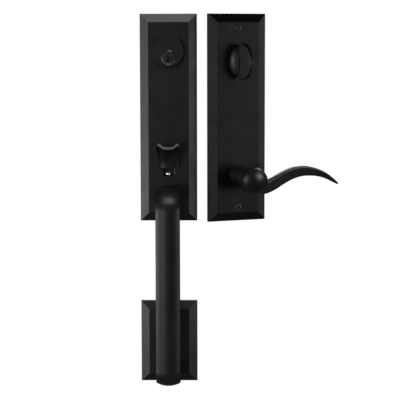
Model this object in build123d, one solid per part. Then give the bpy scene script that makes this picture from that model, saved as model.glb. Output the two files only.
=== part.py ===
from build123d import *
from math import asin, atan2, ceil, cos, degrees, pi, radians, sin
import os

os.makedirs("parts", exist_ok=True)

# Entry door handleset: an outside half with a lock cylinder, a thumbpiece and a pull grip between
# an upper and a lower plate, and an inside half with a thumb turn and a lever on one long plate.
# Each piece is drawn in door coordinates: x to the right, y up and z out of the door's face, in
# millimetres. The last section stands each half where it belongs: x right, -y towards the viewer, +z up.

# Setting out
LOCK_CENTRES = 139.7
LOCK_BELOW_TOP = 45.7
PLATE_BELOW_LATCH = 68.6
LOWER_PLATE_DROP = 219.6
INSIDE_LATCH_ABOVE_FOOT = 56.4
INSIDE_OFFSET_X = 82.3
INSIDE_TURN = 22.0

# Plates
OUTSIDE_WIDTH = 69.85
INSIDE_WIDTH = 75.6
LOWER_HEIGHT = 101.6
PLATE_EDGE = 3.7
BEVEL_RUN = 10.2
BEVEL_RISE = 4.8
PLATE_WALL = 3.0
CREST_RADIUS = 1.3
EDGE_RADIUS = 0.6

# Fits
SLIP = 0.05
SIDE_PLAY = 0.3
HOLE_PLAY = 0.2

# Lock cylinder and plug
CYLINDER_FACE_RADIUS = 20.65
CYLINDER_FACE_DEPTH = 3.2
CYLINDER_FACE_CHAMFER = 2.0
BARREL_RADIUS = 15.9
BARREL_LENGTH = 31.0
PLUG_OFFSET = 7.4
PLUG_RADIUS = 6.35
PLUG_HEAD_RADIUS = 8.9
PLUG_HEAD_SEAT = 2.0
PLUG_NOSE_RADIUS = 7.7
PLUG_NOSE_RISE = 1.0
PLUG_TAIL = 8.5
KEYWAY_WIDTH = 1.9
KEYWAY_TOP = 3.4
KEYWAY_STEP = 0.9
KEYWAY_DEPTH = 26.0
CYLINDER_SCREW_SPACING = 23.0
SCREW_TAP_RADIUS = 2.1
SCREW_COVER = 1.1
CYLINDER_TAP_DEPTH = 18.0
RING_THICKNESS = 1.2
RING_WIDTH = 3.2
RING_GROOVE = 1.0
RING_OPENING = 0.95
TAILPIECE_WIDTH = 6.4
TAILPIECE_THICKNESS = 1.8
TAILPIECE_LENGTH = 52.0
TAILPIECE_SEAT = 6.5
TAILPIECE_CHAMFER = 1.5
CROSS_PIN_RADIUS = 0.9
CROSS_PIN_INSET = 0.4

# Thumbpiece, its slot and its bracket
SLOT_WIDTH = 13.4
SLOT_TOP = 6.5
SLOT_BOTTOM = -12.0
SLOT_CORNER = 2.0
SLOT_EDGE = 1.2
PIVOT_BACK = 1.0
PIVOT_RADIUS = 1.6
PIVOT_HEAD_RADIUS = 2.5
PIVOT_HEAD_END = 1.3
PIVOT_END = 0.8
STEM_WIDTH = 9.0
STEM_TOP = 4.6
STEM_BOTTOM = -2.2
WEB_HEIGHT = 8.0
PAD_GAP = 2.2
PAD_HEEL = -2.3
PAD_HEEL_WIDTH = 22.8
PAD_WIDTH = 29.6
PAD_THICKNESS = 4.6
PAD_LIP_THICKNESS = 3.0
PAD_REACH = 29.5
PAD_LIP_HEIGHT = 23.4
PAD_DISH = 4.9
PAD_ROLL = 2.2
PAD_ROLL_WIDTH = 3.0
PAD_CORNER = 2.6
HUB_RADIUS = 4.3
HUB_LEFT = -6.1
HUB_RIGHT = 2.7
TAIL_WIDTH = 8.4
TAIL_THICKNESS = 3.4
TAIL_LENGTH = 44.0
BRACKET_WIDTH = 22.0
BRACKET_TOP = 20.0
BRACKET_BOTTOM = -24.5
BRACKET_SHEET = 1.5
BRACKET_STANDOFF = 2.0
BRACKET_CORNER = 3.0
WINDOW_BOTTOM = -4.7
EAR_GAP = 13.0
EAR_HEIGHT = 11.0
EAR_BACK = 5.0
BRACKET_SCREW_TOP = 15.6
BRACKET_SCREW_BOTTOM = -20.0
BRACKET_SCREW_RADIUS = 1.25
BRACKET_SCREW_HEAD = 2.5
BRACKET_SCREW_RISE = 1.5
BRACKET_SCREW_SLOT = 0.7
BRACKET_SCREW_SLOT_DEPTH = 0.8
HEAD_CHAMFER = 0.6
BOSS_RADIUS = 3.2
RIVET_X = -1.35
RIVET_Y = -10.6
RIVET_RADIUS = 3.7
RIVET_RISE = 1.9
RIVET_SHANK_RADIUS = 1.5
RIVET_PEEN = 0.7
THUMB_WIRE = 0.9
THUMB_COILS = 2.5
THUMB_PITCH = 1.0
THUMB_LEG = 11.0
THUMB_LEG_DRAW = 0.03
THUMB_HOOK_BACK = 2.8

# Latch posts behind the upper plate
POST_SPACING = 38.1
POST_RADIUS = 4.5
POST_BACK = 14.0
POST_TAP_DEPTH = 16.0

# Grip
GRIP_WIDTH = 29.5
GRIP_THICKNESS = 15.0
GRIP_CROWN = 3.9
GRIP_EDGE_RADIUS = 0.8
GRIP_BACK_RADIUS = 4.5
GRIP_REACH = 66.0
GRIP_TOP = -25.5
GRIP_TOP_BEND = 27.0
GRIP_FOOT_DROP = 30.4
GRIP_BOTTOM_BEND = 19.0
GRIP_FOOT_RISE = 11.9
GRIP_FOOT_FLARE = 0.6
GRIP_FOOT_LENGTH = 19.0
GRIP_SCREW_SPACING = 17.0
GRIP_SCREW_RADIUS = 2.5
GRIP_SCREW_REACH = 13.0
GRIP_SCREW_HEAD = 4.4
GRIP_SCREW_RISE = 2.7
GRIP_SCREW_INSET = 0.5

# Lower post
LOWER_POST_RADIUS = 5.0
LOWER_SPIGOT_RADIUS = 4.0
LOWER_SPIGOT_LENGTH = 13.0
LOWER_FLANGE_RADIUS = 7.0
LOWER_FLANGE = 3.0

# Thumb turn
TURN_BASE_HALF_WIDTH = 12.4
TURN_BASE_HALF_HEIGHT = 19.5
TURN_BASE_HEIGHT = 13.2
TURN_BASE_SIDE = 2.5
TURN_FIN_HALF_HEIGHT = 22.0
TURN_FIN_PROJECTION = 41.5
TURN_FIN_ROOT = 7.6
TURN_FIN_EDGE = 4.8
TURN_FIN_HEEL = 10.0
TURN_FIN_RIM_RADIUS = 1.7
TURN_FIN_TUCK = 3.5
TURN_FIN_WIDEST = 4.0
TURN_SHAFT_RADIUS = 6.0
TURN_SHAFT_BACK = 6.0
TURN_BUSH_RADIUS = 8.0
TURN_BUSH_FLANGE = 11.0
WASHER_SHEET = 0.6
WASHER_LAND = 1.0

# Lever
NECK_RADIUS = 13.1
NECK_WAIST = 11.7
NECK_WAIST_UP = 12.0
BALL_RADIUS = 16.6
BALL_X = 2.6
BALL_DROP = 3.4
BALL_REACH = 43.0
LEVER_LENGTH = 120.5
LEVER_SET_BACK = 3.0
LEVER_SWEEP_BACK = 7.0
LEVER_HEIGHT = 13.9
LEVER_DEPTH = 10.5
LEVER_CORNER = 0.26
LEVER_SHANK_RADIUS = 9.0
LEVER_SHANK_BACK = 12.0
LEVER_BUSH_RADIUS = 11.0
LEVER_BUSH_FLANGE = 14.5
BUSH_FLANGE_THICKNESS = 1.4
FACE_GAP = 0.3
SPINDLE_SIDE = 8.0
SPINDLE_SEAT = 24.0
SPINDLE_LENGTH = 62.0
GRUB_RADIUS = 2.5
GRUB_LENGTH = 6.0
GRUB_SOCKET_RADIUS = 1.25
GRUB_SOCKET_DEPTH = 2.5
SPINDLE_CHAMFER = 0.8

# Spring cage behind the lever
CAGE_RADIUS = 21.0
CAGE_WALL = 1.5
CAGE_DEPTH = 12.0
CAGE_EAR_SPACING = 52.0
CAGE_EAR_RADIUS = 4.0
CAM_RADIUS = 12.5
CAM_THICKNESS = 3.0
CAM_LUG_REACH = 18.4
CAM_LUG_WIDTH = 5.0
LEVER_WIRE = 1.8
LEVER_SPRING_RADIUS = 15.6
LEVER_COILS = 2.0
LEVER_COIL_GAP = 0.3
LEVER_LEG_REACH = 17.9
TAB_DEPTH = 2.2
CAGE_SCREW_RADIUS = 1.5
CAGE_SCREW_HEAD = 2.9
CAGE_SCREW_RISE = 1.8

# Screws through the inside plate
PLATE_SCREW_INSET = 17.2
PLATE_SCREW_HEAD = 4.5
PLATE_SCREW_RADIUS = 2.1
PLATE_SCREW_LENGTH = 27.0
PLATE_SCREW_DOME = 1.3
PLATE_SCREW_SINK = 2.4
PLATE_SCREW_POINT = 4.0
PLATE_SCREW_TIP = 0.3
RECESS_WIDTH = 0.44
RECESS_REACH = 0.55

# Depths and places worked out from the sizes above
PLATE_HEIGHT = LOCK_BELOW_TOP + LOCK_CENTRES + PLATE_BELOW_LATCH
PLATE_FRONT = PLATE_EDGE + BEVEL_RISE
PLATE_INSIDE = PLATE_FRONT - PLATE_WALL
OUTSIDE_MIDDLE = PLATE_HEIGHT / 2 - PLATE_BELOW_LATCH
PLUG_Y = LOCK_CENTRES - PLUG_OFFSET
CYLINDER_FRONT = PLATE_FRONT + CYLINDER_FACE_DEPTH
BARREL_BACK = PLATE_FRONT - BARREL_LENGTH
PIVOT_Z = -PIVOT_BACK
BRACKET_FRONT = PLATE_INSIDE - BRACKET_STANDOFF
BRACKET_REAR = BRACKET_FRONT - BRACKET_SHEET
GRIP_SCREW_Y = GRIP_TOP - GRIP_THICKNESS / 2 - GRIP_SCREW_INSET
LOWER_FOOT_Y = -LOWER_PLATE_DROP - GRIP_FOOT_DROP
GRIP_BOTTOM = LOWER_FOOT_Y - GRIP_FOOT_RISE - GRIP_THICKNESS / 2
LEVER_Y = INSIDE_LATCH_ABOVE_FOOT - PLATE_HEIGHT / 2
TURN_Y = LEVER_Y + LOCK_CENTRES
PLATE_SCREW_Y = PLATE_HEIGHT / 2 - PLATE_SCREW_INSET
CAGE_FRONT = PLATE_INSIDE - BUSH_FLANGE_THICKNESS
CAGE_BACK = CAGE_FRONT - CAGE_DEPTH


# Simple solids
def disc(radius, low, high, x=0.0, y=0.0):
    """Round solid between two depths, its axis square to the door."""
    return Pos(x, y, low) * Cylinder(radius, high - low, align=(Align.CENTER, Align.CENTER, Align.MIN))


def block(x0, x1, y0, y1, z0, z1):
    """Square solid between two corners."""
    size = (x1 - x0, y1 - y0, z1 - z0)
    return Pos((x0 + x1) / 2, (y0 + y1) / 2, (z0 + z1) / 2) * Box(*size)


def cross_pin(radius, x0, x1, y, z):
    """Round solid lying from left to right."""
    return Pos((x0 + x1) / 2, y, z) * Rot(0, 90, 0) * Cylinder(radius, x1 - x0)


def snap_ring(inner, outer, low, high, x, y):
    """Flat spring ring with an open side facing down, as wide as a share of its inner radius."""
    ring = disc(outer, low, high, x, y) - disc(inner, low, high, x, y)
    half = RING_OPENING * inner / 2
    return ring - block(x - half, x + half, y - outer - 1, y, low - 1, high + 1)


def coil_path(radius, pitch, turns, start):
    """Middle line of a spring's wire: half rings, each tilted by half the pitch, the last cut to length."""
    arcs = []
    for ring in range(ceil(2 * turns)):
        angle = radians(start + 180 * ring)
        centre = Vector(0, 0, pitch * (ring / 2 + 1 / 4))
        outward = Vector(radius * cos(angle), radius * sin(angle), -pitch / 4)
        ahead = Vector(-sin(angle), cos(angle), 0) * outward.length
        swing = pi * min(1, 2 * turns - ring)
        arcs.append(ThreePointArc(*(
            centre + outward * cos(part * swing) + ahead * sin(part * swing) for part in (0, 0.5, 1)
        )))
    return Wire(arcs)


# Bevelled plates
def bevelled_block(width, height, inset=0.0, drop=0.0):
    """Solid with upright edges and a bevel that is mitred at the corners."""

    def outline(span):
        half = span / 2 - inset
        edge = PLATE_EDGE - drop
        top = PLATE_FRONT - drop
        return Polygon(
            (-half, 0), (half, 0), (half, edge), (half - BEVEL_RUN, top),
            (-half + BEVEL_RUN, top), (-half, edge), align=None,
        )

    across = extrude(Plane.XZ * outline(width), height, both=True)
    along = extrude(Plane.YZ * outline(height), width, both=True)
    return across & along


def hollow_plate(width, height):
    """Bevelled plate, open at the back, with softened crest and edge."""
    solid = bevelled_block(width, height)
    crest = solid.edges().filter_by_position(Axis.Z, PLATE_FRONT - 0.01, PLATE_FRONT + 0.01)
    solid = fillet(crest, CREST_RADIUS)
    rim = solid.edges().filter_by_position(Axis.Z, PLATE_EDGE - 0.01, PLATE_EDGE + 0.01)
    solid = fillet(rim, EDGE_RADIUS)
    return solid - bevelled_block(width, height, PLATE_WALL, PLATE_WALL)


def exterior_plate():
    """Upper outside plate with the cylinder hole, the thumbpiece slot, its bosses and the latch posts."""
    plate = Pos(0, OUTSIDE_MIDDLE, 0) * hollow_plate(OUTSIDE_WIDTH, PLATE_HEIGHT)
    for side in (-1, 1):
        x = side * POST_SPACING / 2
        plate += disc(POST_RADIUS, -POST_BACK, PLATE_INSIDE, x)
        plate -= disc(SCREW_TAP_RADIUS, -POST_BACK, POST_TAP_DEPTH - POST_BACK, x)
    for y in (BRACKET_SCREW_TOP, BRACKET_SCREW_BOTTOM):
        plate += disc(BOSS_RADIUS, BRACKET_FRONT, PLATE_INSIDE, 0, y)
        plate -= disc(BRACKET_SCREW_RADIUS + SLIP, BRACKET_FRONT, PLATE_FRONT - SCREW_COVER, 0, y)
    plate -= disc(BARREL_RADIUS + HOLE_PLAY, 0, PLATE_FRONT, 0, LOCK_CENTRES)
    plate -= disc(BARREL_RADIUS + RING_WIDTH + HOLE_PLAY, 0, PLATE_INSIDE, 0, LOCK_CENTRES)
    slot_height = SLOT_TOP - SLOT_BOTTOM
    slot = extrude(RectangleRounded(SLOT_WIDTH, slot_height, SLOT_CORNER), PLATE_FRONT + 1)
    plate -= Pos(0, (SLOT_TOP + SLOT_BOTTOM) / 2, 0) * slot
    front = plate.edges().filter_by_position(Axis.Z, PLATE_FRONT - 0.01, PLATE_FRONT + 0.01)
    centre = Vector(0, 0, PLATE_FRONT)
    rim = front.filter_by(lambda edge: (edge.center() - centre).length < slot_height)
    plate = fillet(rim, SLOT_EDGE)
    for side in (-1, 1):
        x = side * GRIP_SCREW_SPACING / 2
        plate -= disc(GRIP_SCREW_RADIUS + HOLE_PLAY, 0, PLATE_FRONT, x, GRIP_SCREW_Y)
    return plate


def lower_plate():
    """Small outside plate under the foot of the grip."""
    plate = Pos(0, -LOWER_PLATE_DROP, 0) * hollow_plate(OUTSIDE_WIDTH, LOWER_HEIGHT)
    return plate - disc(LOWER_POST_RADIUS + HOLE_PLAY, 0, PLATE_FRONT, 0, LOWER_FOOT_Y)


def interior_plate():
    """Long inside plate with holes for the turn, the lever and two countersunk screws."""
    plate = hollow_plate(INSIDE_WIDTH, PLATE_HEIGHT)
    plate -= disc(TURN_BUSH_RADIUS + SLIP, 0, PLATE_FRONT, 0, TURN_Y)
    plate -= disc(LEVER_BUSH_RADIUS + SLIP, 0, PLATE_FRONT, 0, LEVER_Y)
    for side in (-1, 1):
        y = LEVER_Y + side * CAGE_EAR_SPACING / 2
        plate += disc(CAGE_EAR_RADIUS, CAGE_FRONT, PLATE_INSIDE, 0, y)
        plate -= disc(CAGE_SCREW_RADIUS + SLIP, CAGE_FRONT, PLATE_FRONT - SCREW_COVER, 0, y)
    for side in (-1, 1):
        y = side * PLATE_SCREW_Y
        plate -= disc(PLATE_SCREW_RADIUS + HOLE_PLAY, 0, PLATE_FRONT, 0, y)
        sink = Cone(PLATE_SCREW_RADIUS + SLIP, PLATE_SCREW_HEAD + SLIP, PLATE_SCREW_SINK)
        plate -= Pos(0, y, PLATE_FRONT - PLATE_SCREW_SINK / 2) * sink
    return plate


# Lock cylinder
def cylinder_body():
    """Cylinder with its wide front flange, plug bore, ring groove and two tapped holes at the back."""
    face = disc(CYLINDER_FACE_RADIUS, PLATE_FRONT, CYLINDER_FRONT, 0, LOCK_CENTRES)
    face = chamfer(face.edges().group_by(Axis.Z)[-1], CYLINDER_FACE_CHAMFER)
    body = face + disc(BARREL_RADIUS, BARREL_BACK, PLATE_FRONT, 0, LOCK_CENTRES)
    ring_back = PLATE_INSIDE - RING_THICKNESS - 2 * SLIP
    groove = disc(BARREL_RADIUS + 1, ring_back, PLATE_INSIDE, 0, LOCK_CENTRES)
    body -= groove - disc(BARREL_RADIUS - RING_GROOVE, ring_back, PLATE_INSIDE, 0, LOCK_CENTRES)
    body -= disc(PLUG_RADIUS + SLIP, BARREL_BACK, CYLINDER_FRONT, 0, PLUG_Y)
    body -= disc(PLUG_HEAD_RADIUS + SLIP, CYLINDER_FRONT - PLUG_HEAD_SEAT, CYLINDER_FRONT, 0, PLUG_Y)
    for side in (-1, 1):
        x = side * CYLINDER_SCREW_SPACING / 2
        body -= disc(SCREW_TAP_RADIUS, BARREL_BACK, BARREL_BACK + CYLINDER_TAP_DEPTH, x, LOCK_CENTRES)
    return body


def keyway():
    """Stepped key slot, open along the bottom of the plug."""
    half = KEYWAY_WIDTH / 2
    low = -PLUG_HEAD_RADIUS - 1
    steps = (KEYWAY_TOP, 0.8, -1.6, -4.2, low)
    offsets = (-KEYWAY_STEP / 2, KEYWAY_STEP / 2, -KEYWAY_STEP / 2, KEYWAY_STEP / 4)
    front = CYLINDER_FRONT + PLUG_NOSE_RISE + 1
    slot = None
    for top, bottom, shift in zip(steps, steps[1:], offsets):
        piece = block(shift - half, shift + half, bottom, top, front - KEYWAY_DEPTH, front)
        slot = piece if slot is None else slot + piece
    return Pos(0, PLUG_Y, 0) * slot


def cylinder_plug():
    """Turning plug with a raised, chamfered head, the keyway, a ring groove and a slot for the tailpiece."""
    seat = CYLINDER_FRONT - PLUG_HEAD_SEAT
    back = BARREL_BACK - PLUG_TAIL
    plug = disc(PLUG_RADIUS, back, seat, 0, PLUG_Y) + disc(PLUG_HEAD_RADIUS, seat, CYLINDER_FRONT, 0, PLUG_Y)
    nose = Cone(PLUG_HEAD_RADIUS, PLUG_NOSE_RADIUS, PLUG_NOSE_RISE)
    plug += Pos(0, PLUG_Y, CYLINDER_FRONT + PLUG_NOSE_RISE / 2) * nose
    groove_low = BARREL_BACK - RING_THICKNESS - 2 * SLIP
    groove = disc(PLUG_RADIUS + 1, groove_low, BARREL_BACK - SLIP, 0, PLUG_Y)
    plug -= groove - disc(PLUG_RADIUS - RING_GROOVE, groove_low, BARREL_BACK - SLIP, 0, PLUG_Y)
    plug -= keyway()
    half_w = TAILPIECE_WIDTH / 2 + SLIP
    half_t = TAILPIECE_THICKNESS / 2 + SLIP
    plug -= block(-half_t, half_t, PLUG_Y - half_w, PLUG_Y + half_w, back, back + TAILPIECE_SEAT)
    pin_z = back + TAILPIECE_SEAT / 2
    return plug - cross_pin(CROSS_PIN_RADIUS + SLIP, -PLUG_RADIUS, PLUG_RADIUS, PLUG_Y, pin_z)


def cylinder_ring():
    """Snap ring that holds the cylinder in the plate."""
    inner = BARREL_RADIUS - RING_GROOVE + SLIP
    low = PLATE_INSIDE - RING_THICKNESS - SLIP
    return snap_ring(inner, BARREL_RADIUS + RING_WIDTH, low, PLATE_INSIDE - SLIP, 0, LOCK_CENTRES)


def plug_ring():
    """Snap ring that holds the plug in the cylinder."""
    inner = PLUG_RADIUS - RING_GROOVE + SLIP
    low = BARREL_BACK - RING_THICKNESS - SLIP
    return snap_ring(inner, PLUG_RADIUS + RING_WIDTH / 2, low, BARREL_BACK - SLIP, 0, PLUG_Y)


def tailpiece():
    """Flat bar that carries the key's turn through the door."""
    seat = BARREL_BACK - PLUG_TAIL + TAILPIECE_SEAT
    half_w = TAILPIECE_WIDTH / 2
    half_t = TAILPIECE_THICKNESS / 2
    bar = block(-half_t, half_t, PLUG_Y - half_w, PLUG_Y + half_w, seat - TAILPIECE_LENGTH, seat - SLIP)
    bar = chamfer(bar.edges().group_by(Axis.Z)[0].filter_by(Axis.X), TAILPIECE_CHAMFER)
    pin_z = seat - TAILPIECE_SEAT / 2
    return bar - cross_pin(CROSS_PIN_RADIUS + SLIP, -PLUG_RADIUS, PLUG_RADIUS, PLUG_Y, pin_z)


def tailpiece_pin():
    """Cross pin through the plug's end and the tailpiece."""
    z = BARREL_BACK - PLUG_TAIL + TAILPIECE_SEAT / 2
    reach = PLUG_RADIUS - CROSS_PIN_INSET
    return cross_pin(CROSS_PIN_RADIUS, -reach, reach, PLUG_Y, z)


# Thumbpiece
def thumb_coil_radius():
    """Middle of the wire of the spring round the pivot pin."""
    return PIVOT_RADIUS + HOLE_PLAY + THUMB_WIRE / 2


def thumb_pad():
    """Curved and dished sheet, from a flat heel over the slot out to a waved lip with rolled ends."""
    heel = Vector(0, PAD_HEEL, PLATE_FRONT + PAD_GAP + PAD_THICKNESS / 2)
    lip = Vector(0, PAD_LIP_HEIGHT, PLATE_FRONT + PAD_REACH)
    reach = lip.Z - heel.Z
    height = lip.Y - heel.Y
    path = Spline([heel, Vector(0, heel.Y + 0.62 * height, heel.Z + 0.22 * reach), lip],
                  tangents=[Vector(0, 1, 0.05), Vector(0, 0.62, 1)])
    sections = []
    for share in (0, 0.3, 0.6, 0.85, 1):
        plane = Plane(origin=path @ share, x_dir=(1, 0, 0), z_dir=path % share)
        half = (PAD_HEEL_WIDTH + (PAD_WIDTH - PAD_HEEL_WIDTH) * share) / 2
        thick = (PAD_THICKNESS + (PAD_LIP_THICKNESS - PAD_THICKNESS) * share) / 2
        sag = PAD_DISH * (0.12 + 0.88 * share ** 2)
        end = sag - PAD_ROLL * share ** 2
        crest = half - PAD_ROLL_WIDTH
        inner = 0.45 * half
        low = 0.24 * sag
        wave = [(-half, end), (-crest, sag), (-inner, low), (0, 0), (inner, low), (crest, sag), (half, end)]
        with BuildSketch() as section:
            with BuildLine():
                Spline([(x, y + thick) for x, y in wave])
                Line((half, end + thick), (half, end - thick))
                Spline([(x, y - thick) for x, y in reversed(wave)])
                Line((-half, end - thick), (-half, end + thick))
            make_face()
        sections.append(plane * section.sketch)
    pad = loft(sections)
    half = PAD_WIDTH / 2
    end = Plane(origin=path @ 1, x_dir=(1, 0, 0), z_dir=path % 1)
    face_on = Plane(origin=end.origin, x_dir=(1, 0, 0), z_dir=end.y_dir)
    for side in (-1, 1):
        centre = Pos(side * (half - PAD_CORNER), PAD_CORNER)
        corner = Pos(side * half, 0) * Rectangle(2 * PAD_CORNER, 2 * PAD_CORNER) - centre * Circle(PAD_CORNER)
        pad -= extrude(face_on * corner, 2 * PAD_DISH, both=True)
    return pad


def thumbpiece():
    """Dished thumb pad on a stem, with a hub on the pivot pin and a tail that lifts the latch."""
    heel_z = PLATE_FRONT + PAD_GAP
    stem = block(-STEM_WIDTH / 2, STEM_WIDTH / 2, STEM_BOTTOM, STEM_TOP, PIVOT_Z, heel_z + PAD_THICKNESS / 2)
    web = Polygon(
        (STEM_BOTTOM + 1, heel_z - 1), (STEM_TOP, heel_z - 2),
        (STEM_TOP + WEB_HEIGHT, heel_z + PAD_THICKNESS), (STEM_BOTTOM + 1, heel_z + PAD_THICKNESS / 2),
        align=None,
    )
    stem += extrude(Plane.YZ * web, STEM_WIDTH / 2, both=True)
    stem -= block(HUB_RIGHT, STEM_WIDTH, STEM_BOTTOM - 1, STEM_TOP + 1, PIVOT_Z - 1, PIVOT_Z + HUB_RADIUS)
    hub = cross_pin(HUB_RADIUS, HUB_LEFT, HUB_RIGHT, 0, PIVOT_Z)
    tail_top = thumb_coil_radius() - THUMB_WIRE / 2 - SIDE_PLAY
    tail_low = tail_top - TAIL_THICKNESS
    tail = block(-TAIL_WIDTH / 2, HUB_RIGHT, tail_low, tail_top, -TAIL_LENGTH, PIVOT_Z)
    tail += block(-TAIL_WIDTH / 2, TAIL_WIDTH / 2, tail_low, tail_top, -TAIL_LENGTH, PIVOT_Z - HUB_RADIUS - 1)
    whole = thumb_pad() + stem + hub + tail
    return whole - cross_pin(PIVOT_RADIUS + SLIP, HUB_LEFT - 1, HUB_RIGHT + 1, 0, PIVOT_Z)


def thumb_bracket():
    """Folded bracket with two ears for the pivot pin."""
    half = BRACKET_WIDTH / 2
    ear = EAR_GAP / 2
    sheet = block(-half, half, BRACKET_BOTTOM, BRACKET_TOP, BRACKET_REAR, BRACKET_FRONT)
    sheet = fillet(sheet.edges().filter_by(Axis.Z), BRACKET_CORNER)
    sheet -= block(-ear, ear, WINDOW_BOTTOM, EAR_HEIGHT, BRACKET_REAR, BRACKET_FRONT)
    for side in (-1, 1):
        x0, x1 = sorted((side * ear, side * (ear + BRACKET_SHEET)))
        fold = block(x0, x1, -EAR_HEIGHT / 2, EAR_HEIGHT / 2, PIVOT_Z - EAR_BACK, BRACKET_REAR)
        sheet += fillet(fold.edges().filter_by(Axis.X).group_by(Axis.Z)[0], BRACKET_CORNER)
    sheet -= cross_pin(PIVOT_RADIUS + SLIP, -half, half, 0, PIVOT_Z)
    sheet -= cross_pin(THUMB_WIRE / 2 + SLIP, ear, half, -thumb_coil_radius(), PIVOT_Z - THUMB_HOOK_BACK)
    for y in (BRACKET_SCREW_TOP, BRACKET_SCREW_BOTTOM):
        sheet -= disc(BRACKET_SCREW_RADIUS + SLIP, BRACKET_REAR, BRACKET_FRONT, 0, y)
    return sheet - disc(RIVET_SHANK_RADIUS + SLIP, BRACKET_REAR, BRACKET_FRONT, RIVET_X, RIVET_Y)


def thumb_pivot_pin():
    """Headed pivot pin through the bracket's ears and the hub."""
    end = EAR_GAP / 2 + BRACKET_SHEET
    pin = cross_pin(PIVOT_RADIUS, -end - PIVOT_END, end + PIVOT_END, 0, PIVOT_Z)
    return pin + cross_pin(PIVOT_HEAD_RADIUS, end + SLIP, end + PIVOT_HEAD_END, 0, PIVOT_Z)


def thumb_spring():
    """Torsion spring round the pivot pin, one leg over the tail and one hooked into the right ear."""
    radius = thumb_coil_radius()
    rise = THUMB_PITCH * THUMB_COILS
    half = THUMB_WIRE / 2
    coil = coil_path(radius, THUMB_PITCH, THUMB_COILS, 90)
    spring = sweep(Plane(origin=coil @ 0, z_dir=coil % 0) * Circle(half), coil)
    leg = half - THUMB_LEG_DRAW
    spring += Pos(0, radius, 0) * cross_pin(leg, -leg / 2, THUMB_LEG, 0, 0)
    hook = Pos(0, -radius, rise) * cross_pin(leg, -leg / 2, THUMB_HOOK_BACK + leg, 0, 0)
    hook += disc(leg, rise, rise + BRACKET_SHEET + THUMB_WIRE, THUMB_HOOK_BACK, -radius)
    return Pos(HUB_RIGHT + SIDE_PLAY + half, 0, PIVOT_Z) * Rot(0, 90, 0) * (spring + hook)


def bracket_screws():
    """Two pan head screws that hold the bracket to the bosses."""
    screws = []
    for y in (BRACKET_SCREW_TOP, BRACKET_SCREW_BOTTOM):
        low = BRACKET_REAR - BRACKET_SCREW_RISE
        head = disc(BRACKET_SCREW_HEAD, low, BRACKET_REAR, 0, y)
        head = chamfer(head.edges().group_by(Axis.Z)[0], HEAD_CHAMFER)
        shank = disc(BRACKET_SCREW_RADIUS, BRACKET_REAR, PLATE_FRONT - SCREW_COVER - HOLE_PLAY, 0, y)
        slot = Box(2 * BRACKET_SCREW_HEAD, BRACKET_SCREW_SLOT, 2 * BRACKET_SCREW_SLOT_DEPTH)
        slot = Pos(0, y, low) * slot
        screws.append(head + shank - slot)
    return Compound(children=screws)


def slot_rivet():
    """Round headed brass rivet in the bracket, seen through the slot below the stem."""
    sphere_radius = (RIVET_RADIUS ** 2 + RIVET_RISE ** 2) / (2 * RIVET_RISE)
    dome = Pos(RIVET_X, RIVET_Y, BRACKET_FRONT + RIVET_RISE - sphere_radius) * Sphere(sphere_radius)
    dome &= disc(RIVET_RADIUS, BRACKET_FRONT, BRACKET_FRONT + RIVET_RISE + 1, RIVET_X, RIVET_Y)
    shank = disc(RIVET_SHANK_RADIUS, BRACKET_REAR, BRACKET_FRONT, RIVET_X, RIVET_Y)
    peened = disc(RIVET_SHANK_RADIUS + RIVET_PEEN, BRACKET_REAR - RIVET_PEEN, BRACKET_REAR, RIVET_X, RIVET_Y)
    return dome + shank + peened


# Grip
def grip_section(width, thickness):
    """Flat back, upright sides and a crowned front; drawn with the front towards +y."""
    half = width / 2
    shoulder = thickness / 2 - GRIP_CROWN
    with BuildSketch() as section:
        with BuildLine():
            Polyline([(-half, shoulder), (-half, -thickness / 2), (half, -thickness / 2), (half, shoulder)])
            ThreePointArc((half, shoulder), (0, thickness / 2), (-half, shoulder))
        make_face()
        corners = section.vertices().group_by(Axis.Y)
        fillet(corners[-1], GRIP_EDGE_RADIUS)
        fillet(section.vertices().group_by(Axis.Y)[0], GRIP_BACK_RADIUS)
    return section.sketch


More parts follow.
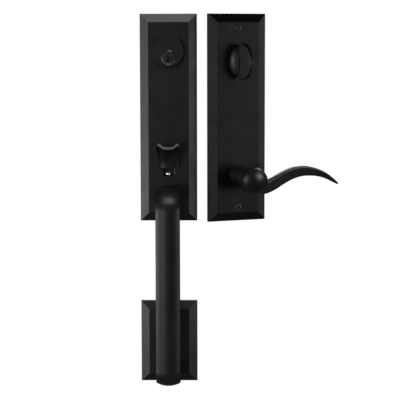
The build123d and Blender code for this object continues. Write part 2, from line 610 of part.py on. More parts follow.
def grip():
    """Crowned bar bent into a pull, with a flared foot on each plate."""
    middle = GRIP_THICKNESS / 2
    run = GRIP_REACH - middle
    top = GRIP_TOP - middle
    low = GRIP_BOTTOM + middle
    foot = LOWER_FOOT_Y
    root = PLATE_FRONT - 4
    path = FilletPolyline(
        [(0, top, root), (0, top, run), (0, low, run), (0, foot, root)],
        radius=[GRIP_TOP_BEND - middle, GRIP_BOTTOM_BEND - middle],
    )
    start = Plane(origin=(0, top, root), x_dir=(1, 0, 0), z_dir=(0, 0, 1))
    bar = sweep(start * grip_section(GRIP_WIDTH, GRIP_THICKNESS), path)
    wide = GRIP_WIDTH + 2 * GRIP_FOOT_FLARE
    deep = GRIP_THICKNESS + 2 * GRIP_FOOT_FLARE
    level = PLATE_FRONT + GRIP_FOOT_LENGTH
    section = grip_section(GRIP_WIDTH, GRIP_THICKNESS)
    upper = loft([
        Plane(origin=(0, top, PLATE_FRONT), x_dir=(1, 0, 0), z_dir=(0, 0, 1)) * grip_section(wide, deep),
        Plane(origin=(0, top, level), x_dir=(1, 0, 0), z_dir=(0, 0, 1)) * section,
    ])
    slope = atan2(foot - low, run - root)
    foot_y = low + (run - level) * (foot - low) / (run - root)
    lower = loft([
        Plane(origin=(0, foot, PLATE_FRONT), x_dir=(-1, 0, 0), z_dir=(0, 0, 1)) * grip_section(wide, deep),
        Plane(origin=(0, foot_y, level), x_dir=(-1, 0, 0), z_dir=(0, -sin(slope), cos(slope))) * section,
    ])
    whole = bar + upper + lower
    whole -= block(-wide, wide, GRIP_BOTTOM - GRIP_REACH, GRIP_TOP + GRIP_REACH, -GRIP_REACH, PLATE_FRONT)
    bore_end = PLATE_FRONT + GRIP_SCREW_REACH + 1
    for side in (-1, 1):
        x = side * GRIP_SCREW_SPACING / 2
        whole -= disc(GRIP_SCREW_RADIUS + SLIP, PLATE_FRONT, bore_end, x, GRIP_SCREW_Y)
    seat = PLATE_FRONT + LOWER_SPIGOT_LENGTH + 1
    return whole - disc(LOWER_SPIGOT_RADIUS + SLIP, PLATE_FRONT, seat, 0, foot)


def grip_screws():
    """Two machine screws from behind the upper plate into the grip's foot."""
    screws = []
    for side in (-1, 1):
        x = side * GRIP_SCREW_SPACING / 2
        rear = PLATE_INSIDE - GRIP_SCREW_RISE
        head = disc(GRIP_SCREW_HEAD, rear, PLATE_INSIDE, x, GRIP_SCREW_Y)
        head = chamfer(head.edges().group_by(Axis.Z)[0], HEAD_CHAMFER)
        shank = disc(GRIP_SCREW_RADIUS, PLATE_INSIDE, PLATE_FRONT + GRIP_SCREW_REACH, x, GRIP_SCREW_Y)
        recess = phillips_recess(x, GRIP_SCREW_Y, rear, -1, RECESS_REACH * GRIP_SCREW_HEAD)
        screws.append(head + shank - recess)
    return Compound(children=screws)


def lower_post():
    """Threaded post that clamps the lower plate to the grip's foot and takes a bolt through the door."""
    post = disc(LOWER_SPIGOT_RADIUS, PLATE_INSIDE, PLATE_FRONT + LOWER_SPIGOT_LENGTH, 0, LOWER_FOOT_Y)
    flange = Pos(0, LOWER_FOOT_Y, PLATE_INSIDE - LOWER_FLANGE) * extrude(
        RegularPolygon(LOWER_FLANGE_RADIUS, 6, major_radius=False), LOWER_FLANGE)
    post += flange + disc(LOWER_POST_RADIUS, PLATE_INSIDE, PLATE_FRONT - SLIP, 0, LOWER_FOOT_Y)
    post += disc(LOWER_POST_RADIUS, -POST_BACK, PLATE_INSIDE - LOWER_FLANGE, 0, LOWER_FOOT_Y)
    return post - disc(SCREW_TAP_RADIUS, -POST_BACK, POST_TAP_DEPTH - POST_BACK, 0, LOWER_FOOT_Y)


# Cross recess and screws
def phillips_recess(x, y, face, way, reach):
    """Tapered cross recess cut from a face, pointing along way times z."""
    tool = None
    for turn in (0, 90):
        wing = loft([
            Rot(0, 0, turn) * Rectangle(2 * reach, RECESS_WIDTH * reach),
            Pos(0, 0, -reach) * Rot(0, 0, turn) * Rectangle(RECESS_WIDTH * reach, RECESS_WIDTH * reach / 2),
        ])
        tool = wing if tool is None else tool + wing
    if way < 0:
        tool = Rot(180, 0, 0) * tool
    return Pos(x, y, face) * tool


def plate_screws():
    """Two oval head wood screws that hold the inside plate to the door."""
    screws = []
    for side in (-1, 1):
        y = side * PLATE_SCREW_Y
        sphere_radius = (PLATE_SCREW_HEAD ** 2 + PLATE_SCREW_DOME ** 2) / (2 * PLATE_SCREW_DOME)
        dome = Pos(0, y, PLATE_FRONT + PLATE_SCREW_DOME - sphere_radius) * Sphere(sphere_radius)
        dome &= disc(PLATE_SCREW_HEAD, PLATE_FRONT, PLATE_FRONT + PLATE_SCREW_DOME + 1, 0, y)
        cone = Cone(PLATE_SCREW_RADIUS, PLATE_SCREW_HEAD, PLATE_SCREW_SINK)
        head = Pos(0, y, PLATE_FRONT - PLATE_SCREW_SINK / 2) * cone
        end = PLATE_FRONT - PLATE_SCREW_LENGTH
        shank = disc(PLATE_SCREW_RADIUS, end + PLATE_SCREW_POINT, PLATE_FRONT - PLATE_SCREW_SINK, 0, y)
        point = Cone(PLATE_SCREW_TIP, PLATE_SCREW_RADIUS, PLATE_SCREW_POINT)
        point = Pos(0, y, end + PLATE_SCREW_POINT / 2) * point
        recess = phillips_recess(0, y, PLATE_FRONT + PLATE_SCREW_DOME, 1, RECESS_REACH * PLATE_SCREW_HEAD)
        screws.append(dome + head + shank + point - recess)
    return Compound(children=screws)


# Thumb turn
def thumb_turn():
    """Oval domed base with a half round fin across it, on a slotted shaft."""
    seat = PLATE_FRONT + FACE_GAP
    side_top = seat + TURN_BASE_SIDE
    base = extrude(Pos(0, 0, seat) * Ellipse(TURN_BASE_HALF_WIDTH, TURN_BASE_HALF_HEIGHT), TURN_BASE_SIDE)
    # Each step of the dome: share of its height, share of the base's half width and half height
    rise = TURN_BASE_HEIGHT - TURN_BASE_SIDE
    steps = ((0, 1, 1), (0.43, 0.92, 0.94), (0.78, 0.73, 0.82), (1, 0.44, 0.62))
    dome = loft([
        Pos(0, 0, side_top + high * rise)
        * Ellipse(across * TURN_BASE_HALF_WIDTH, along * TURN_BASE_HALF_HEIGHT)
        for high, across, along in steps
    ])
    heel = seat + TURN_FIN_HEEL
    tip = PLATE_FRONT + TURN_FIN_PROJECTION
    widest = heel + TURN_FIN_WIDEST
    half = TURN_FIN_HALF_HEIGHT
    flat = half - TURN_FIN_TUCK
    with BuildSketch(Plane.YZ) as profile:
        with BuildLine():
            Polyline([(-flat, heel), (flat, heel)])
            Spline([(flat, heel), (half, widest)], tangents=[(1, 0.15), (0, 1)])
            EllipticalCenterArc((0, widest), half, tip - widest, start_angle=0, arc_size=180)
            Spline([(-half, widest), (-flat, heel)], tangents=[(0, -1), (1, -0.15)])
        make_face()
    fin = extrude(profile.sketch, TURN_FIN_ROOT, both=True)
    taper = Polygon(
        (-TURN_FIN_ROOT / 2, heel - 1), (TURN_FIN_ROOT / 2, heel - 1), (TURN_FIN_EDGE / 2, tip + 1),
        (-TURN_FIN_EDGE / 2, tip + 1), align=None,
    )
    fin &= extrude(Plane.XZ * taper, 2 * half, both=True)
    rim = fin.edges().filter_by(lambda edge: edge.center().Z > heel + 0.5 and edge.length > half)
    fin = fillet(rim, TURN_FIN_RIM_RADIUS)
    shaft = disc(TURN_SHAFT_RADIUS, -TURN_SHAFT_BACK, seat)
    groove_top = PLATE_INSIDE - 2 * BUSH_FLANGE_THICKNESS
    groove = disc(TURN_SHAFT_RADIUS + 1, groove_top - RING_THICKNESS, groove_top)
    shaft -= groove - disc(TURN_SHAFT_RADIUS - RING_GROOVE, groove_top - RING_THICKNESS, groove_top)
    half_w = TAILPIECE_WIDTH / 2 + HOLE_PLAY
    half_t = TAILPIECE_THICKNESS / 2 + HOLE_PLAY
    whole = base + dome + fin + shaft
    whole -= block(-half_t, half_t, -half_w, half_w, -TURN_SHAFT_BACK, PLATE_FRONT)
    return Pos(0, TURN_Y, 0) * whole


def turn_bushing():
    """Flanged plain bearing for the turn's shaft."""
    sleeve = disc(TURN_BUSH_RADIUS, PLATE_INSIDE - BUSH_FLANGE_THICKNESS, PLATE_FRONT, 0, TURN_Y)
    sleeve += disc(TURN_BUSH_FLANGE, PLATE_INSIDE - BUSH_FLANGE_THICKNESS, PLATE_INSIDE, 0, TURN_Y)
    return sleeve - disc(TURN_SHAFT_RADIUS + SLIP, 0, PLATE_FRONT, 0, TURN_Y)


def turn_washer():
    """Dished spring washer that keeps the turn where it is put."""
    high = PLATE_INSIDE - BUSH_FLANGE_THICKNESS - SLIP
    low = PLATE_INSIDE - 2 * BUSH_FLANGE_THICKNESS + 2 * SLIP
    outer = TURN_BUSH_FLANGE - WASHER_LAND
    inner = TURN_SHAFT_RADIUS + HOLE_PLAY
    section = Polygon(
        (inner, low), (inner + WASHER_LAND, low), (outer, high - WASHER_SHEET),
        (outer, high), (outer - WASHER_LAND, high), (inner, low + WASHER_SHEET),
        align=None,
    )
    return Pos(0, TURN_Y, 0) * revolve(Plane.XZ * section, Axis.Z)


def turn_ring():
    """Snap ring in the groove of the turn's shaft."""
    top = PLATE_INSIDE - 2 * BUSH_FLANGE_THICKNESS - SLIP
    inner = TURN_SHAFT_RADIUS - RING_GROOVE + SLIP
    return snap_ring(inner, TURN_SHAFT_RADIUS + RING_WIDTH, top - RING_THICKNESS + 2 * SLIP, top, 0, TURN_Y)


# Lever
def lever_arm():
    """Waved arm: a flat fronted bar with round edges that turns its front up as it thins out to the tip."""
    # Each station: share of the length out from the axis, height of the middle in millimetres,
    # share of full height, share of full depth, and upward lean of the front in degrees
    stations = (
        (0.051, -9.5, 1.12, 1.25, 0),
        (0.165, -10.9, 1.10, 1.10, 0),
        (0.263, -6.2, 1.02, 1.00, 0),
        (0.373, 0.6, 1.0, 0.95, 4),
        (0.492, 5.2, 0.97, 0.92, 12),
        (0.602, 6.2, 0.94, 0.90, 24),
        (0.712, 4.2, 0.88, 0.86, 36),
        (0.814, 0.3, 0.76, 0.78, 46),
        (0.907, -5.4, 0.56, 0.62, 52),
        (0.970, -10.2, 0.34, 0.40, 55),
        (0.992, -12.0, 0.12, 0.18, 55),
    )
    level = PLATE_FRONT + BALL_REACH - LEVER_SET_BACK
    points = [
        Vector(out * LEVER_LENGTH, y, level - LEVER_SWEEP_BACK * out ** 2) for out, y, *rest in stations
    ]
    line = Spline(points)
    sections = []
    for station, point in zip(stations, points):
        share = line.param_at_point(point)
        along = line % share
        side = Vector(0, 0, 1)
        plane = Plane(origin=point, x_dir=along.cross(side), z_dir=along)
        turned = plane.rotated((0, 0, -station[4]))
        half_h = station[2] * LEVER_HEIGHT / 2
        half_d = station[3] * LEVER_DEPTH / 2
        sections.append(turned * RectangleRounded(2 * half_h, 2 * half_d, 2 * half_d * LEVER_CORNER))
    return loft(sections)


def lever():
    """Neck, ball and waved arm in one casting, with a hollow shank for the spindle."""
    foot = PLATE_FRONT + FACE_GAP
    ball_z = PLATE_FRONT + BALL_REACH
    # Each ring of the neck: depth, share of the ball's shift off the axis, and radius
    rings = (
        (foot, 0, NECK_RADIUS),
        (foot + NECK_WAIST_UP / 2, 0, (NECK_RADIUS + 2 * NECK_WAIST) / 3),
        (foot + NECK_WAIST_UP, 0, NECK_WAIST),
        (ball_z - BALL_RADIUS, 0.4, NECK_WAIST + 1.0),
        (ball_z - BALL_RADIUS / 3, 1.2, NECK_WAIST + 2.6),
    )
    neck = loft([Pos(BALL_X * shift, -BALL_DROP * shift, z) * Circle(radius) for z, shift, radius in rings])
    ball = Pos(BALL_X, -BALL_DROP, ball_z) * Sphere(BALL_RADIUS)
    body = neck + ball + lever_arm()
    shank = disc(LEVER_SHANK_RADIUS, -LEVER_SHANK_BACK, foot)
    groove_top = CAGE_BACK - CAGE_WALL - SLIP
    groove = disc(LEVER_SHANK_RADIUS + 1, groove_top - RING_THICKNESS - SLIP, groove_top)
    shank -= groove - disc(LEVER_SHANK_RADIUS - RING_GROOVE, groove_top - RING_THICKNESS - SLIP, groove_top)
    body += shank
    half_side = SPINDLE_SIDE / 2 + SLIP
    body -= block(-half_side, half_side, -half_side, half_side, -LEVER_SHANK_BACK, foot + SPINDLE_SEAT)
    grub_z = foot + SPINDLE_SEAT / 2
    body -= Pos(0, -half_side, grub_z) * Rot(90, 0, 0) * Cylinder(
        GRUB_RADIUS + SLIP, NECK_RADIUS + GRUB_LENGTH, align=(Align.CENTER, Align.CENTER, Align.MIN))
    return Pos(0, LEVER_Y, 0) * body


def lever_set_screw():
    """Socket set screw under the neck that grips the spindle."""
    top = -SPINDLE_SIDE / 2 - SLIP
    z = PLATE_FRONT + FACE_GAP + SPINDLE_SEAT / 2
    screw = Cylinder(GRUB_RADIUS, GRUB_LENGTH, align=(Align.CENTER, Align.CENTER, Align.MIN))
    socket = extrude(RegularPolygon(GRUB_SOCKET_RADIUS, 6, major_radius=False), GRUB_SOCKET_DEPTH)
    screw -= Pos(0, 0, GRUB_LENGTH - GRUB_SOCKET_DEPTH) * socket
    return Pos(0, LEVER_Y + top, z) * Rot(90, 0, 0) * screw


def lever_spindle():
    """Square bar that turns the latch."""
    half = SPINDLE_SIDE / 2
    front = PLATE_FRONT + FACE_GAP + SPINDLE_SEAT - SIDE_PLAY
    bar = block(-half, half, LEVER_Y - half, LEVER_Y + half, front - SPINDLE_LENGTH, front)
    return chamfer(bar.edges().group_by(Axis.Z)[0], SPINDLE_CHAMFER)


def lever_bushing():
    """Flanged plain bearing for the lever's shank."""
    sleeve = disc(LEVER_BUSH_RADIUS, CAGE_FRONT, PLATE_FRONT, 0, LEVER_Y)
    sleeve += disc(LEVER_BUSH_FLANGE, CAGE_FRONT, PLATE_INSIDE, 0, LEVER_Y)
    return sleeve - disc(LEVER_SHANK_RADIUS + SLIP, 0, PLATE_FRONT, 0, LEVER_Y)


def spring_cage():
    """Round cup behind the plate that holds the return spring, with two fixing ears."""
    cup = disc(CAGE_RADIUS, CAGE_BACK, CAGE_FRONT)
    cup -= disc(CAGE_RADIUS - CAGE_WALL, CAGE_BACK, CAGE_FRONT - CAGE_WALL)
    ears = Pos(0, 0, CAGE_FRONT - CAGE_WALL) * extrude(
        SlotCenterToCenter(CAGE_EAR_SPACING, 2 * CAGE_EAR_RADIUS, rotation=90), CAGE_WALL)
    cup += ears - disc(CAGE_RADIUS - CAGE_WALL, CAGE_BACK, CAGE_FRONT)
    cup -= disc(LEVER_SHANK_RADIUS + HOLE_PLAY, CAGE_BACK, CAGE_FRONT)
    for side in (-1, 1):
        y = side * CAGE_EAR_SPACING / 2
        cup -= disc(CAGE_SCREW_RADIUS + SLIP, CAGE_BACK, CAGE_FRONT, 0, y)
    half = CAM_LUG_WIDTH / 2
    wall = CAGE_RADIUS - CAGE_WALL
    tab_low = CAGE_BACK + CAM_THICKNESS + 2 * SIDE_PLAY
    cup += block(-half, half, wall - TAB_DEPTH, wall + CAGE_WALL / 2, tab_low, CAGE_FRONT)
    return Pos(0, LEVER_Y, 0) * cup


def cage_cover():
    """Pressed lid on the back of the cage."""
    lid = disc(CAGE_RADIUS, CAGE_BACK - CAGE_WALL, CAGE_BACK) - disc(
        LEVER_SHANK_RADIUS + HOLE_PLAY, CAGE_BACK - CAGE_WALL, CAGE_BACK)
    return Pos(0, LEVER_Y, 0) * lid


def cage_screws():
    """Two pan head screws through the cage's ears."""
    screws = []
    rear = CAGE_FRONT - CAGE_WALL
    for side in (-1, 1):
        y = LEVER_Y + side * CAGE_EAR_SPACING / 2
        head = disc(CAGE_SCREW_HEAD, rear - CAGE_SCREW_RISE, rear, 0, y)
        head = chamfer(head.edges().group_by(Axis.Z)[0], HEAD_CHAMFER)
        shank = disc(CAGE_SCREW_RADIUS, rear, PLATE_FRONT - SCREW_COVER - HOLE_PLAY, 0, y)
        recess = phillips_recess(0, y, rear - CAGE_SCREW_RISE, -1, RECESS_REACH * CAGE_SCREW_HEAD)
        screws.append(head + shank - recess)
    return Compound(children=screws)


def lever_cam():
    """Cam on the shank whose lug winds the return spring either way."""
    high = CAGE_BACK + CAM_THICKNESS + SIDE_PLAY
    low = CAGE_BACK + SIDE_PLAY
    half = CAM_LUG_WIDTH / 2
    cam = disc(CAM_RADIUS, low, high) + block(-half, half, 0, CAM_LUG_REACH, low, high)
    return Pos(0, LEVER_Y, 0) * (cam - disc(LEVER_SHANK_RADIUS + SLIP, low, high))


def lever_spring():
    """Torsion spring in the cage; its two legs stand either side of the cam's lug and the cage's tab."""
    pitch = LEVER_WIRE + LEVER_COIL_GAP
    half = LEVER_WIRE / 2
    side = CAM_LUG_WIDTH / 2 + SIDE_PLAY + half
    lean = degrees(asin(side / LEVER_SPRING_RADIUS))
    coil = coil_path(LEVER_SPRING_RADIUS, pitch, LEVER_COILS - lean / 180, 90 + lean)
    rise = (coil @ 1).Z
    spring = sweep(Plane(origin=coil @ 0, z_dir=coil % 0) * Circle(half), coil)
    low = CAGE_BACK + CAM_THICKNESS + 2 * SIDE_PLAY + half
    bottom = CAGE_BACK + SIDE_PLAY - low
    for x, level in ((-side, 0), (side, rise)):
        outward = Pos(x, (coil @ 0).Y - half, level) * Rot(-90, 0, 0)
        reach = LEVER_LEG_REACH - (coil @ 0).Y + 2 * half
        spring += outward * Cylinder(half, reach, align=(Align.CENTER, Align.CENTER, Align.MIN))
        spring += disc(half, bottom, rise + half, x, LEVER_LEG_REACH)
    return Pos(0, LEVER_Y, low) * spring


def lever_ring():
    """Snap ring behind the cage's lid that keeps the lever in place."""
    top = CAGE_BACK - CAGE_WALL - SLIP
    inner = LEVER_SHANK_RADIUS - RING_GROOVE + SLIP
    return snap_ring(inner, LEVER_SHANK_RADIUS + RING_WIDTH, top - RING_THICKNESS, top - SLIP, 0, LEVER_Y)


# Where each half stands
OUTSIDE = Plane(origin=(0, 0, 0), x_dir=(1, 0, 0), z_dir=(0, -1, 0))
TURN = radians(INSIDE_TURN)
INSIDE = Plane(
    origin=(INSIDE_OFFSET_X, 0, OUTSIDE_MIDDLE),
    x_dir=(cos(TURN), sin(TURN), 0),
    z_dir=(sin(TURN), -cos(TURN), 0),
)

OUTSIDE_PIECES = (
    exterior_plate, cylinder_body, cylinder_plug, cylinder_ring, plug_ring, tailpiece, tailpiece_pin,
    thumbpiece, thumb_bracket, thumb_pivot_pin, thumb_spring, bracket_screws, slot_rivet,
    grip, grip_screws, lower_plate, lower_post,
)
INSIDE_PIECES = (
    interior_plate, plate_screws, thumb_turn, turn_bushing, turn_washer, turn_ring,
    lever, lever_set_screw, lever_spindle, lever_bushing, lever_ring,
    spring_cage, cage_cover, cage_screws, lever_cam, lever_spring,
)

for place, pieces in ((OUTSIDE, OUTSIDE_PIECES), (INSIDE, INSIDE_PIECES)):
    for piece in pieces:
        export_step(place.location * piece(), f"parts/{piece.__name__}.step")
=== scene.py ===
import math

import bpy
from mathutils import Matrix, Vector


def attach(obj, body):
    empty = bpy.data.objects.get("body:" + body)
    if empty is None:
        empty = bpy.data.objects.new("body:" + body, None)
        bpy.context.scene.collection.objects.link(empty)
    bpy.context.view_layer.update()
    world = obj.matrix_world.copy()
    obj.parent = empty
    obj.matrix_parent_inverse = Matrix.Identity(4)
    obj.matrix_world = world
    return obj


# An entry door handleset in satin black: the outside half on the left, the inside half turned
# on the right. Lengths are in metres, angles in degrees and powers in watts.

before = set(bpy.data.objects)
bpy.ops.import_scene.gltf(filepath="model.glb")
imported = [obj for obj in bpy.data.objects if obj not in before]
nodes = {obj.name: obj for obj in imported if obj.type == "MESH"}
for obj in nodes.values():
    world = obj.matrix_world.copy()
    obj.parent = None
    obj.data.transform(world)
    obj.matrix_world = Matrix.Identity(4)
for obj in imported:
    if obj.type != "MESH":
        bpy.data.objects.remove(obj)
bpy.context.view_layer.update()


def linked(name, data):
    """New object in the scene."""
    piece = bpy.data.objects.new(name, data)
    bpy.context.scene.collection.objects.link(piece)
    return piece


def mesh_piece(name, points, faces):
    """New object with a mesh of these points and faces."""
    mesh = bpy.data.meshes.new(name)
    mesh.from_pydata(points, [], faces)
    return linked(name, mesh)


def turned(axis, degrees):
    return Matrix.Rotation(math.radians(degrees), 3, axis)


# Shader nodes
NOISE_ROUGHNESS = 0.6
NOISE_LOW = 0.3
NOISE_HIGH = 0.7


def grey(level):
    return (level, level, level)


def opaque(colour):
    return (*colour, 1.0)


def principled(name, colour, rough, metal=0.0, specular=0.5):
    """New material and its principled shader."""
    material = bpy.data.materials.new(name)
    material.use_nodes = True
    shader = material.node_tree.nodes["Principled BSDF"]
    shader.inputs["Base Color"].default_value = opaque(colour)
    shader.inputs["Roughness"].default_value = rough
    shader.inputs["Metallic"].default_value = metal
    shader.inputs["Specular IOR Level"].default_value = specular
    return material, shader


def add(tree, kind, **values):
    """New node with its inputs set by name."""
    node = tree.nodes.new(kind)
    for key, value in values.items():
        node.inputs[key.replace("_", " ")].default_value = value
    return node


def own_place(tree):
    """Place in the object's own space."""
    return tree.nodes.new("ShaderNodeTexCoord").outputs["Object"]


def math_node(tree, operation, first, second):
    """Operation on two values."""
    node = tree.nodes.new("ShaderNodeMath")
    node.operation = operation
    tree.links.new(first, node.inputs[0])
    tree.links.new(second, node.inputs[1])
    return node.outputs["Value"]


def product(tree, first, second):
    return math_node(tree, "MULTIPLY", first, second)


def greatest(tree, first, second):
    return math_node(tree, "MAXIMUM", first, second)


def vector_node(tree, operation, vector, constant=None):
    """Operation on a vector and, where it takes a second one, on a constant."""
    node = tree.nodes.new("ShaderNodeVectorMath")
    node.operation = operation
    tree.links.new(vector, node.inputs[0])
    if constant is not None:
        node.inputs[1].default_value = constant
    return node


def span(tree, value, low, high, start, end):
    """Takes a value from the range start to end over to the range low to high."""
    node = add(tree, "ShaderNodeMapRange", From_Min=start, From_Max=end, To_Min=low, To_Max=high)
    tree.links.new(value, node.inputs["Value"])
    return node.outputs["Result"]


def noise(tree, scale, detail):
    """Noise in the object's own space, its scale in cycles a metre."""
    texture = add(tree, "ShaderNodeTexNoise", Scale=scale, Detail=detail,
                  Roughness=NOISE_ROUGHNESS)
    tree.links.new(own_place(tree), texture.inputs["Vector"])
    return texture.outputs["Fac"]


def varied(tree, grain, low, high, start=NOISE_LOW, end=NOISE_HIGH):
    """Value that noise takes from low to high; grain is the noise's scale and detail."""
    return span(tree, noise(tree, *grain), low, high, start, end)


def mixed(tree, factor, first, second):
    """Colour between two, each of them a colour or a socket, by a factor."""
    node = tree.nodes.new("ShaderNodeMix")
    node.data_type = "RGBA"
    tree.links.new(factor, node.inputs["Factor"])
    for key, colour in (("A", first), ("B", second)):
        if isinstance(colour, tuple):
            node.inputs[key].default_value = opaque(colour)
        else:
            tree.links.new(colour, node.inputs[key])
    return node.outputs["Result"]


def mottled(tree, grain, first, second):
    """Two colours that noise mixes."""
    return mixed(tree, varied(tree, grain, 0.0, 1.0), first, second)


def bumped(tree, shader, *layers):
    """Adds one bump node for each (grain, strength, depth), each on top of the last."""
    last = None
    for grain, strength, depth in layers:
        node = add(tree, "ShaderNodeBump", Strength=strength, Distance=depth)
        tree.links.new(noise(tree, *grain), node.inputs["Height"])
        if last is not None:
            tree.links.new(last, node.inputs["Normal"])
        last = node.outputs["Normal"]
    tree.links.new(last, shader.inputs["Normal"])


def within(tree, centre, half):
    """One inside a box of the object's own space, given by centre and half sizes, else nought."""
    shift = vector_node(tree, "SUBTRACT", own_place(tree), centre)
    share = vector_node(tree, "DIVIDE", shift.outputs["Vector"], half)
    size = vector_node(tree, "ABSOLUTE", share.outputs["Vector"])
    split = tree.nodes.new("ShaderNodeSeparateXYZ")
    tree.links.new(size.outputs["Vector"], split.inputs["Vector"])
    across = greatest(tree, split.outputs["X"], split.outputs["Y"])
    inside = tree.nodes.new("ShaderNodeMath")
    inside.operation = "LESS_THAN"
    inside.inputs[1].default_value = 1.0
    tree.links.new(greatest(tree, across, split.outputs["Z"]), inside.inputs[0])
    return inside.outputs["Value"]


def ray_share(tree, *kinds):
    """One where any of these kinds of ray looks, else nought."""
    path = tree.nodes.new("ShaderNodeLightPath")
    total = path.outputs[kinds[0]]
    for kind in kinds[1:]:
        total = greatest(tree, total, path.outputs[kind])
    return total


def mixed_shaders(tree, factor, first, second, output):
    """Joins two shaders by a factor and takes them to the tree's output node."""
    mix = tree.nodes.new("ShaderNodeMixShader")
    tree.links.new(factor, mix.inputs["Fac"])
    tree.links.new(first, mix.inputs[1])
    tree.links.new(second, mix.inputs[2])
    tree.links.new(mix.outputs["Shader"], tree.nodes[output].inputs["Surface"])


# Grains of the surfaces, each the scale and the detail of its noise
COAT_CLOUD = (22.0, 5.0)
COAT_PATCH = (60.0, 6.0)
COAT_PEEL = (900.0, 3.0)
COAT_GRAIN = (2600.0, 2.0)
METAL_CLOUD = (140.0, 6.0)
METAL_PATCH = (320.0, 5.0)
METAL_SCRATCH = (1400.0, 4.0)
LOCK_CLOUD = (160.0, 5.0)
LOCK_PATCH = (420.0, 4.0)
LOCK_GRAIN = (1300.0, 3.0)
LOCK_WEAR = (1500.0, 3.0)
BARE_CLOUD = (700.0, 3.0)
PLASTIC_CLOUD = (90.0, 4.0)
PLASTIC_GRAIN = (1500.0, 3.0)
FLOOR_CLOUD = (6.0, 3.0)

# Strength and depth of the bumps
PEEL_STRENGTH = 0.35
PEEL_DEPTH = 0.00006
GRAIN_STRENGTH = 0.25
GRAIN_SHARE = 0.5
SCRATCH_BUMP = (0.4, 0.00004)
LOCK_BUMP = (0.35, 0.00005)
PLASTIC_BUMP = (0.3, 0.00003)

# How far roughness and colour vary
COAT_ROUGH_SPREAD = 0.04
COAT_DARK_BLUE = 1.03
COAT_LIGHT_BLUE = 1.04
METAL_ROUGH_SPREAD = (0.75, 1.3)
LOCK_ROUGH_SPREAD = (0.8, 1.25)
LOCK_COAT_SPREAD = 1.6
WEAR_START = 0.4
WEAR_END = 0.5
BARE_BRASS = ((0.5, 0.33, 0.13), (0.78, 0.56, 0.26))


def satin_black(name, dark=0.0034, light=0.0056, rough=0.36, peel=PEEL_DEPTH, specular=0.165):
    """Satin powder coat: fine orange peel, slight mottling and roughness that varies a little."""
    material, shader = principled(name, grey(dark), rough, specular=specular)
    tree = material.node_tree
    coat = mottled(tree, COAT_CLOUD, (dark, dark, dark * COAT_DARK_BLUE),
                   (light, light, light * COAT_LIGHT_BLUE))
    tree.links.new(coat, shader.inputs["Base Color"])
    patches = varied(tree, COAT_PATCH, rough - COAT_ROUGH_SPREAD, rough + COAT_ROUGH_SPREAD)
    tree.links.new(patches, shader.inputs["Roughness"])
    bumped(tree, shader, (COAT_PEEL, PEEL_STRENGTH, peel),
           (COAT_GRAIN, GRAIN_STRENGTH, peel * GRAIN_SHARE))
    return material


def bare_metal(name, bright, dull, rough):
    """Turned or plated metal with fine scratches and dull patches."""
    material, shader = principled(name, bright, rough, metal=1.0)
    tree = material.node_tree
    tree.links.new(mottled(tree, METAL_CLOUD, dull, bright), shader.inputs["Base Color"])
    smooth, coarse = (rough * share for share in METAL_ROUGH_SPREAD)
    tree.links.new(varied(tree, METAL_PATCH, smooth, coarse), shader.inputs["Roughness"])
    bumped(tree, shader, (METAL_SCRATCH, *SCRATCH_BUMP))
    return material


def coated_brass(name, coat, rough, metal, specular, bare_box, worn_box=None):
    """Dark coated lock metal: bare brass inside one box, the coat worn off in spots in another."""
    material, shader = principled(name, grey(coat), rough, metal, specular)
    tree = material.node_tree
    bare = within(tree, *bare_box)
    if worn_box is not None:
        spots = varied(tree, LOCK_WEAR, 0.0, 1.0, WEAR_START, WEAR_END)
        bare = greatest(tree, bare, product(tree, within(tree, *worn_box), spots))
    black = mottled(tree, LOCK_CLOUD, grey(coat), grey(coat * LOCK_COAT_SPREAD))
    brass = mottled(tree, BARE_CLOUD, *BARE_BRASS)
    tree.links.new(mixed(tree, bare, black, brass), shader.inputs["Base Color"])
    tree.links.new(span(tree, bare, metal, 1.0, 0.0, 1.0), shader.inputs["Metallic"])
    smooth, coarse = (rough * share for share in LOCK_ROUGH_SPREAD)
    tree.links.new(varied(tree, LOCK_PATCH, smooth, coarse), shader.inputs["Roughness"])
    bumped(tree, shader, (LOCK_GRAIN, *LOCK_BUMP))
    return material


def plastic(name, pale, shade, rough):
    """Moulded plastic with slight mottling."""
    material, shader = principled(name, pale, rough)
    tree = material.node_tree
    tree.links.new(mottled(tree, PLASTIC_CLOUD, shade, pale), shader.inputs["Base Color"])
    bumped(tree, shader, (PLASTIC_GRAIN, *PLASTIC_BUMP))
    return material


# Where the lock's brass is bare: centre and half sizes of the keyway, of the bore round the plug
# and its head, and of the patch below the keyway that keys wear
PLUG_PLACE = (0.0, -0.002, 0.1323)
KEYWAY_BOX = (PLUG_PLACE, (0.0023, 0.0075, 0.0087))
BORE_BOX = (PLUG_PLACE, (0.0092, 0.0094, 0.0092))
WORN_BOX = ((0.0, -0.0125, 0.1247), (0.0021, 0.0012, 0.0012))

